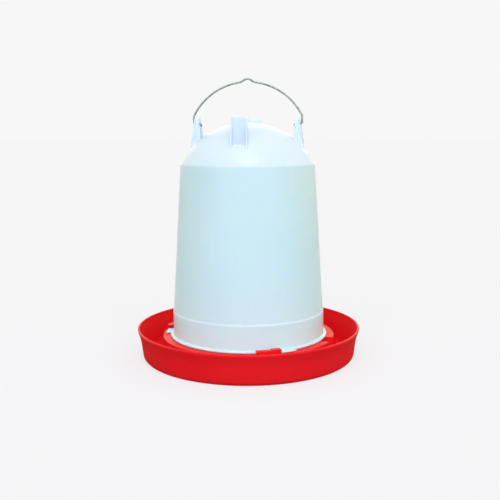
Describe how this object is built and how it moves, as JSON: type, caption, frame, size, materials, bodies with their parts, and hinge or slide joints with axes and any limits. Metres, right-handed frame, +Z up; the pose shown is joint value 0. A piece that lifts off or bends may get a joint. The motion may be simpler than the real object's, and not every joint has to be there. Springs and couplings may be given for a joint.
{
  "type": "poultry waterer fount",
  "caption": "Round poultry drinker: a translucent domed water fount with foot posts and a swinging wire bail, set into a shallow red trough and turned to lock.",
  "frame": {"origin": "centre of the tray's underside, on the floor", "axes": "+Z up along the fount's axis, X along the bail's pivot, -Y towards the viewer"},
  "size_m": [0.36, 0.36, 0.4444],
  "materials": {
    "tray_plastic": "smooth moulded red polypropylene",
    "fount_plastic": "natural translucent polyethylene, satin",
    "bail_wire": "galvanised wire"
  },
  "bodies": {
    "tray": {"tray": "tray_plastic"},
    "fount": {"fount": "fount_plastic"},
    "bail": {"bail": "bail_wire"}
  },
  "joints": [
    {"name": "fount_twist", "type": "hinge", "parent": "tray", "child": "fount", "pos_m": [0, 0, 0.0359], "axis": [0, 0, 1], "range_deg": [-13.5, 88]},
    {"name": "bail_swing", "type": "hinge", "parent": "fount", "child": "bail", "pos_m": [0, 0, 0.3739], "axis": [1, 0, 0], "range_deg": [-100, 100]}
  ]
}
